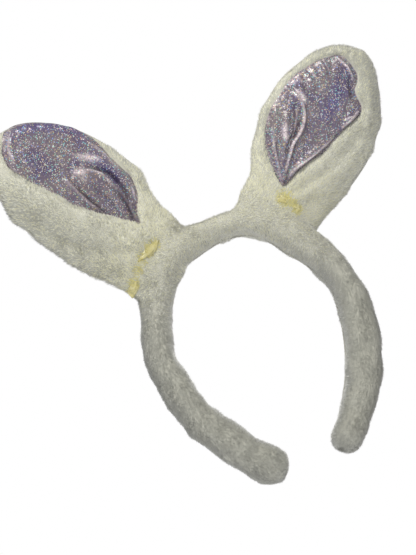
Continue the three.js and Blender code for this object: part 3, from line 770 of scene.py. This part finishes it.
class Ear:
    """An ear's own frame, from its two hinges, and the shape of its plush."""

    def __init__(self, label):
        self.label = label
        self.side = SIDES[label]
        tilt, bend = JOINTS[f"{label}_ear_tilt"], JOINTS[f"{label}_ear_bend"]
        low, high = np.array(tilt["pos_m"]), np.array(bend["pos_m"])
        self.across = unit(np.array([tilt["axis"]]))[0]
        self.up = (high - low) / np.linalg.norm(high - low)
        self.front = np.cross(self.across, self.up)
        self.origin = low - self.up * TILT_UP * MM
        self.panel = catmull(PANELS[label], closed=True)
        self.roll = catmull(ROLLS[label])
        crease, self.crease_depth, self.crease_width = CREASES[label]
        self.crease = catmull(crease)
        self.inner, self.outer = (catmull(edge) for edge in EDGES[label])
        self.length = self.inner[-1, 0]

    def place(self, v, u, z):
        """World points, in metres, from across, up and forward in the ear's own mm."""
        x = np.asarray(v)[..., None] * self.side
        return self.origin + (self.across * x + self.up * np.asarray(u)[..., None]
                              + self.front * np.asarray(z)[..., None]) * MM

    def local(self, points):
        rel = (points - self.origin) / MM
        return (rel @ self.across) * self.side, rel @ self.up, rel @ self.front

    def plane(self, height, way):
        """A cutting plane across the ear, as a point and a normal. What lies up is kept when way is 1."""
        return self.place(0, height, 0), self.up * way

    def edges(self, u):
        """Half widths of the skin, towards the crown and away from it."""
        return [np.maximum(np.interp(u, edge[:, 0], edge[:, 1]) - SKIN_INSET, 0.05)
                for edge in (self.inner, self.outer)]

    def rise(self, v, u):
        """Height of the plush over the ear's middle plane, before the panel's hollow."""
        inner, outer = self.edges(u)
        share = np.clip(np.where(v < 0, -v / inner, v / outer), 0, 1)
        return (5.9 + 2.2 * smoothstep(22, -4, u)) * (1 - share**2.6) ** 0.5

    def front_detail(self, v, u):
        """The hollow that the panel lies in, the plump edge round it and the roll along the outer side."""
        flat = np.stack([v, u], 1)
        depth = inside_outline(flat, self.panel)
        lip = 1.0 * np.exp(-((depth + 4.0) / 3.0) ** 2) * smoothstep(20, 34, u)
        if self.side < 0:
            lip *= smoothstep(-22, -6, v)
        gap, side, _ = line_distance(flat, self.roll)
        outside = np.where(side < 0, gap, -gap)
        roll = 2.1 * smoothstep(-1.6, 1.0, outside) * smoothstep(24, 6, outside)
        roll *= smoothstep(16, 30, u) * smoothstep(116, 100, u)
        away, _, _ = line_distance(flat, self.crease)
        valley = self.crease_depth * np.exp(-((away / self.crease_width) ** 2))
        return lip + roll - PANEL_HOLLOW * smoothstep(-1.2, 3.2, depth) - valley

    def front_height(self, v, u):
        return self.rise(v, u) + self.front_detail(v, u)

    def surface_height(self, plush, v, u):
        """Height of the finished plush over the ear's middle plane. Past its edge, the lowest one found."""
        back = Vector(-self.front)
        falls = [plush.ray_cast(Vector(start), back, WELL_AHEAD * MM)[3]
                 for start in self.place(v, u, np.full(len(v), WELL_AHEAD))]
        deepest = max(fall for fall in falls if fall is not None)
        return WELL_AHEAD - np.array([deepest if fall is None else fall for fall in falls]) / MM

    def pile_length(self, v, u):
        """Length of the pile. It is short where the left panel lies over the ear's upper inner edge."""
        if self.side > 0:
            return np.full(len(v), EAR_PILE)
        trimmed = smoothstep(-28, -35, v) * smoothstep(68, 80, u)
        return EAR_PILE + 0.8 * smoothstep(16, 26, v) - 0.9 * np.maximum(trimmed, smoothstep(108, 116, u))

    def shaded_share(self, v, u):
        """Share of darker, greyer pile, as painted shade: more towards the tip and inner edge, and on the
        left ear's outer side.
        """
        inner_edge = 0.7 * smoothstep(-20, -34, v)
        if self.side > 0:
            return 0.05 + np.maximum(inner_edge, 0.9 * smoothstep(50, 106, u))
        below_roll, tip = 0.6 * smoothstep(14, 28, v), 0.35 * smoothstep(80, 115, u)
        return 0.12 + np.maximum.reduce([inner_edge, below_roll, tip])

    def stains(self):
        """Centres and radii, in metres, of the pile that glue has yellowed."""
        return [(self.place(v, u, self.front_height(np.array([v]), np.array([u]))[0]), radius * MM)
                for v, u, radius in STAINS[self.label]]

    def shell_grid(self, columns=120):
        """Rings round the whole ear, from inside the sleeve to its tip, in metres."""
        arch = np.sin(np.linspace(0, np.pi / 2, 52))
        rows = np.concatenate([np.linspace(-9, 44, 36), 45 + (self.length - 45.1) * arch])
        u, turn = pairs(rows, circle(columns))
        inner, outer = self.edges(u)
        across = np.sign(np.cos(turn)) * np.abs(np.cos(turn)) ** 0.9
        v = across * np.where(across < 0, inner, outer)
        rise, share, ahead = self.rise(v, u), np.abs(across), np.sin(turn) > 0
        z = np.where(ahead, rise + self.front_detail(v, u) * (1 - share**6), -rise)
        flat = np.stack([v, u, z * 2], 1)
        puff = waves(flat, 30, 7 + self.side) * 0.45 + waves(flat, 11, 17 + self.side) * 0.22
        z = z + np.where(ahead, puff, -puff) * (1 - share**4)
        wobble = waves(np.stack([u, v * 0.2], 1), 22, 27 + self.side)
        return self.place(v * (1 + 0.012 * wobble), u, z).reshape(len(rows), columns, 3)


def blend_at(piece, ear, start, end):
    ends = ear.place(np.zeros(2), np.array([start, end]), np.zeros(2))
    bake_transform(piece)


def tilt_blend(piece, ear):
    blend_at(piece, ear, EAR_FOOT, 29)


def bend_blend(piece, ear):
    blend_at(piece, ear, 55, 85)


def panel_height(ear, v, u, depth):
    """Height of the glitter cloth: tucked in at its edge, puffed and folded inside it."""
    height = ear.rise(v, u) - PANEL_TUCK + 2.0 * smoothstep(0, 9, depth)
    flat = np.stack([v, u], 1)
    for line, rise, left, right in FOLDS[ear.label]:
        gap, side, share = line_distance(flat, catmull(line, per=8))
        width = np.where(side > 0, left, right)
        fade = np.sin(np.pi * np.clip(share * 0.9 + 0.08, 0, 1)) ** 0.5
        height += rise * fade * np.exp(-((gap / width) ** 2)) * smoothstep(-0.2, 2.0, depth)
    ripple = waves(flat * [1, 0.6], 7, 90 + ear.side) * 0.25 + waves(flat, 3.4, 91 + ear.side) * 0.10
    return height + ripple * smoothstep(0, 4, depth)


def panel_tones(ear, v, u, depth):
    """Painted highlight, painted shade and violet of the cloth at each point."""
    flat = np.stack([v, u], 1)

    def strokes(lines):
        total = np.zeros(len(flat))
        for line, width, strength in lines:
            gap, _, share = line_distance(flat, catmull(line, per=8))
            taper = np.sin(np.pi * np.clip(share * 0.94 + 0.03, 0, 1)) ** 0.6
            total = np.maximum(total, strength * taper * np.exp(-((gap / width) ** 2)))
        return total

    painted_highlight, dark, violet = (strokes(table[ear.label]) for table in (PAINTED_HIGHLIGHTS, PAINTED_CREASE_SHADE, VIOLET))
    # Painted glints on the crinkles near the edge, with more of them on the upper inner part.
    crinkle_glints = smoothstep(0.1, 1.5, waves(flat, 3.2, 95 + ear.side)) * smoothstep(5, 0.5, depth)
    upper_inner = smoothstep(46, 62, u) * smoothstep(2, -8, v)
    painted_highlight = np.maximum(painted_highlight, 0.65 * crinkle_glints * (0.35 + 0.65 * upper_inner))
    # Painted shade along the tucked edge of the cloth.
    dark = np.maximum(dark, 0.45 * smoothstep(1.4, 0.2, depth))
    return np.stack([painted_highlight, dark, violet, np.ones(len(flat))], 1)


def make_panel(ear):
    """The crinkled glitter cloth, sewn in at its edge."""
    around, rings = 280, 56
    rim = resample(ear.panel, around, closed=True)
    low, high = np.array(PANEL_SPINE)
    axis = high - low
    share = np.clip((rim - low) @ axis / (axis @ axis), 0, 1)
    middle = low + share[:, None] * axis
    steps = np.linspace(1, 0, rings)[:, None, None]
    flat = middle + (rim - middle) * steps
    v, u = flat[..., 0].ravel(), flat[..., 1].ravel()
    depth = inside_outline(flat.reshape(-1, 2), ear.panel)
    depth = np.where(np.repeat(np.arange(rings), around) == 0, 0, np.maximum(depth, 0))
    top = ear.place(v, u, panel_height(ear, v, u, depth))
    piece = make_object(f"{ear.label}_inner_ear", top, ring_quads(rings, around), GLITTER)
    uv = piece.data.uv_layers.new(name="cloth")
    corners = read(piece.data.loops, "vertex_index", 1, int)[:, 0]
    uv.data.foreach_set("uv", (np.stack([v, u], 1)[corners] * MM).ravel())
    # Painted highlight, painted shade and violet, kept on the mesh for the cloth's material.
    tones = piece.data.color_attributes.new("painted_fold_light_and_violet", "FLOAT_COLOR", "POINT")
    tones.data.foreach_set("color", panel_tones(ear, v, u, depth).ravel())
    modify(piece, "WELD", merge_threshold=0.02 * MM)
    modify(piece, "SOLIDIFY", thickness=CLOTH_THICKNESS * MM, offset=0)
    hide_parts(f"{ear.label}_inner_ear_lower", f"{ear.label}_inner_ear_upper")
    return piece


def select(pieces):
    """Selects these pieces alone and makes the first one active."""
    bpy.ops.object.select_all(action="DESELECT")
    for piece in pieces:
        piece.select_set(True)
    bpy.context.view_layer.objects.active = pieces[0]


def modify(piece, kind, **settings):
    """Applies a modifier of this kind, with these settings."""
    select([piece])
    modifier = piece.modifiers.new(kind, kind)
    for key, value in settings.items():
        setattr(modifier, key, value)
    bpy.ops.object.modifier_apply(modifier=modifier.name)


def make_stitching(ear):
    """Zigzag stitches that hold the edge of the panel to the plush."""
    count = 230
    rim = resample(ear.panel, count, closed=True)
    step = np.roll(rim, -1, axis=0) - np.roll(rim, 1, axis=0)
    inward = np.stack([step[:, 1], -step[:, 0]], 1) / np.linalg.norm(step, axis=1)[:, None]
    swing = np.where(np.arange(count) % 2, 0.5, 1.7)
    line = rim + inward * swing[:, None]
    depth = np.maximum(inside_outline(line, ear.panel), 0)
    z = panel_height(ear, line[:, 0], line[:, 1], depth) + 0.4
    points = resample(ear.place(line[:, 0], line[:, 1], z), count * 2)
    piece = tube(f"{ear.label}_panel_stitching", points, 0.16 * MM, LILAC_THREAD, 5)
    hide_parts(f"{ear.label}_panel_stitching_lower", f"{ear.label}_panel_stitching_upper")
    return piece


def make_edge_seam(ear):
    """The seam that joins front and back plush, sunk in the pile at the ear's edge."""
    rows = np.concatenate([np.linspace(26, 100, 40),
                           100 + (ear.length - 100.5) * np.sin(np.linspace(0.05, 1.5, 18))])
    inner, outer = ear.edges(rows)
    v = np.concatenate([-inner, outer[::-1]])
    u = np.concatenate([rows, rows[::-1]])
    line = resample(ear.place(v, u, np.zeros(len(u))), 150)
    piece = tube(f"{ear.label}_edge_seam", line, 0.45 * MM, THREAD, 6)
    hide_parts(*[f"{ear.label}_edge_seam_{part}" for part in ("inner", "outer", "arch")])
    return piece


def make_stuffing(ear):
    """Thin fibre stuffing inside the ear's plush."""
    rows = 26 + (ear.length - 38) * np.concatenate([[0], np.sin(np.linspace(0.05, np.pi / 2, 26))])
    u, turn = pairs(rows, circle(40))
    shrink = np.minimum(1, 0.15 + np.sqrt(np.clip(1 - (u - 26) / (rows[-1] - 25.9), 0, 1)))
    inner, outer = (np.maximum((edge - STUFFING_INSET) * shrink, 0.4) for edge in ear.edges(u))
    v = np.cos(turn) * np.where(np.cos(turn) < 0, inner, outer)
    z = STUFFING_DEPTH * np.sin(turn) * shrink + waves(np.stack([v, u], 1), 12, 5) * 0.2
    piece = loft(f"{ear.label}_stuffing", ear.place(v, u, z).reshape(len(rows), -1, 3), FIBRE)
    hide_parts(f"{ear.label}_stuffing_lower", f"{ear.label}_stuffing_upper")
    return piece


def make_glue(ear, plush):
    """Set beads of hot glue that soak into the pile at the ear's base."""
    rings = 14
    tilt, angle = pairs(np.linspace(0.12, np.pi - 0.12, rings), circle(26))
    x, y, z = np.sin(tilt) * np.cos(angle), np.sin(tilt) * np.sin(angle), np.cos(tilt)
    for number, (name, (v0, u0), (long, short), turn) in enumerate(GLUE_MARKS[ear.label]):
        swell = 1 + 0.24 * waves(np.stack([x, y, z], 1), 1.1, 110 + number + ear.side)
        cos, sin = math.cos(math.radians(turn)), math.sin(math.radians(turn))
        v = v0 + (x * long * cos - y * short * sin) * swell
        u = u0 + (x * long * sin + y * short * cos) * swell
        height = ear.surface_height(plush, v, u) + GLUE_LEVEL + z * 0.7 * swell
        piece = loft(f"{ear.label}_{name}", ear.place(v, u, height).reshape(rings, -1, 3), GLUE)
        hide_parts(f"{ear.label}_{name}")
        tilt_blend(piece, ear)


# ---- plush over the hoop and ears

VOXEL = 1.3
EVEN_STEPS, FILLET_STEPS = 4, 26  # rounds of smoothing all over, and more where the ears meet the sleeve
EAR_REACH = (60, 30)              # how far an ear's plush can be from its middle, across and ahead


def plush_surface(ears):
    """The outside of all the plush in one smooth piece, with fillets where the ears meet the sleeve."""
    shells = [loft("band_form", whole_band(), SKIN)]
    shells += [loft(f"{ear.label}_ear_form", ear.shell_grid(), SKIN) for ear in ears]
    select(shells)
    bpy.ops.object.join()
    body = shells[0]
    modify(body, "REMESH", mode="VOXEL", voxel_size=VOXEL * MM, use_smooth_shade=True)

    co, _, _ = surface(body)
    joins = np.zeros(len(co))
    for ear in ears:
        v, u, z = ear.local(co)
        near = smoothstep(-16, -4, u) * smoothstep(26, 12, u) * smoothstep(52, 44, np.abs(v))
        joins = np.maximum(joins, near * (np.abs(z) < 24))
    group = body.vertex_groups.new(name="joins")
    for index in np.flatnonzero(joins > 0.01):
        group.add([int(index)], float(joins[index]), "REPLACE")
    modify(body, "SMOOTH", iterations=EVEN_STEPS)
    modify(body, "SMOOTH", iterations=FILLET_STEPS, vertex_group="joins")
    return body


def cut_piece(body, name, planes, backing):
    """A closed copy of the part of the body that is in front of every plane."""
    work = bmesh.new()
    work.from_mesh(body.data)
    for point, normal in planes:
        parts = work.verts[:] + work.edges[:] + work.faces[:]
        cut = bmesh.ops.bisect_plane(work, geom=parts, dist=1e-7, plane_co=Vector(point),
                                     plane_no=Vector(normal), clear_inner=True)
        edges = [item for item in cut["geom_cut"] if isinstance(item, bmesh.types.BMEdge)]
        caps = bmesh.ops.triangle_fill(work, use_beauty=True, edges=edges)
        for item in caps["geom"]:
            if isinstance(item, bmesh.types.BMFace):
                item.smooth = False
        for edge in edges:
            edge.smooth = False
    bmesh.ops.recalc_face_normals(work, faces=work.faces[:])
    mesh = bpy.data.meshes.new(name)
    work.to_mesh(mesh)
    work.free()
    mesh.materials.clear()
    mesh.materials.append(backing)
    piece = add_object(name, mesh)
    return piece


def pile_fields(points, ears):
    """Nap, length, and shares of warm pile and of darker pile that paints shade at each point, with its
    place on each ear.
    """
    nap = band_nap(points)
    length = np.full(len(points), BAND_PILE)
    # Painted light and painted shade by height: warmer, brighter pile towards the top of the hoop and
    # darker, greyer pile towards the bottom.
    warm = 0.45 * smoothstep(-0.05, 0.01, points[:, 2])
    shaded = smoothstep(0.015, -0.06, points[:, 2])
    places = []
    for ear in ears:
        v, u, z = ear.local(points)
        beside = (np.abs(v) < EAR_REACH[0]) & (np.abs(z) < EAR_REACH[1])
        near = smoothstep(0, 24, u) * beside
        ear_nap = ear.up[None] + ear.across[None] * (v * ear.side * 0.014)[:, None]
        nap = nap * (1 - near[:, None]) + ear_nap * near[:, None]
        length += (ear.pile_length(v, u) - length) * near
        # On the ears: warmer, brighter pile towards the base, and the ear's share of darker pile that paints
        # shade.
        warm += (0.2 + 0.6 * smoothstep(60, 10, u) - warm) * near
        shaded += (ear.shaded_share(v, u) - shaded) * near
        places.append((v, u, z, beside))
    return (nap, length, warm, shaded), places


def make_plush(ears):
    """Skins and pile of each ear's root and upper piece and of the sleeve's halves. Returns the outside."""
    body = plush_surface(ears)
    points, normals = scatter(body, PILE_PER_MM2, 5)
    fields, places = pile_fields(points, ears)

    def pile_of(name, mine, seed, stains):
        return make_pile(name, points[mine], normals[mine], *[field[mine] for field in fields], seed, stains)

    free = np.ones(len(points), bool)
    for ear, (v, u, z, beside) in zip(ears, places):
        label = ear.label
        on_ear = (u > EAR_FOOT) & beside & free
        free &= ~on_ear
        depth = np.full(len(points), -9.0)
        depth[on_ear] = inside_outline(np.stack([v, u], 1)[on_ear], ear.panel)
        on_ear &= (depth < 0.5) | (z < 0)
        parts = (
            ("root", 60, u < EAR_SPLIT, [ear.plane(EAR_FOOT, 1), ear.plane(EAR_SPLIT, -1)], tilt_blend,
             ["ear_root", "front_rim_lower", "back_panel_lower"]),
            ("upper", 64, u >= EAR_SPLIT, [ear.plane(EAR_SPLIT, 1)], bend_blend,
             ["front_rim_upper", "back_panel_upper"]),
        )
        for part, seed, rows, planes, bend, nodes in parts:
            skin = cut_piece(body, f"{label}_ear_plush_{part}", planes, SKIN)
            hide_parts(*[f"{label}_{node}" for node in nodes])
            pile = pile_of(f"{label}_ear_pile_{part}", on_ear & rows, seed + ear.side, ear.stains())
            bend(skin, ear)
            bend(pile, ear)

    kept = np.random.default_rng(6).uniform(size=len(points)) < PILE_KEPT_ON_BAND
    feet = [ear.plane(EAR_FOOT, -1) for ear in ears]
    for ear in ears:
        label, side = ear.label, ear.side
        skin = cut_piece(body, f"plush_sleeve_{label}", [((0, 0, 0), (side, 0, 0)), *feet], SHADED_SKIN)
        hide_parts(f"{label}_leg_sleeve", *(["crown_sleeve"] if side < 0 else []))
        mine = free & (points[:, 0] * side >= 0) & kept
        pile = pile_of(f"plush_pile_{label}", mine, 40 + side, ear.stains())
        leg_blend(skin, label)
        leg_blend(pile, label)
    mesh = body.data
    plush = BVHTree.FromPolygons([v.co for v in mesh.vertices], [p.vertices for p in mesh.polygons])
    bpy.data.objects.remove(body)
    return plush


# ---- assembly

def finish_cad_nodes():
    """Better materials on the CAD nodes that stay: the plastic core, the ear wires and the tape."""
    finishes = {"_core": PLASTIC, "ear_wire": STEEL, "_tape": TAPE}
    for name, node in frame["nodes"].items():
        for word, material in finishes.items():
            if word in name:
                node.data.materials.clear()
                node.data.materials.append(material)


def make_floor(half_width, drop):
    """A pale floor below the object, which shines a little to fill the shade from below."""
    low = cad_bounds[0].z - drop
    corners = [(x * half_width, y * half_width, low) for x, y in ((-1, -1), (1, -1), (1, 1), (-1, 1))]
    pale, _, _ = new_material("floor", (0.9, 0.9, 0.89), 0.9, Emission_Color=(1, 1, 0.99, 1),
                              Emission_Strength=0.32)
    floor = make_object("floor", corners, [(0, 1, 2, 3)], pale)


both_ears = [Ear(label) for label in SIDES]
plush_outside = make_plush(both_ears)
for label in SIDES:
    make_band_inside(label)
for ear in both_ears:
    for piece in (make_panel(ear), make_stitching(ear), make_edge_seam(ear), make_stuffing(ear)):
        bend_blend(piece, ear)
    make_glue(ear, plush_outside)
finish_cad_nodes()
make_floor(half_width=3, drop=0.21)
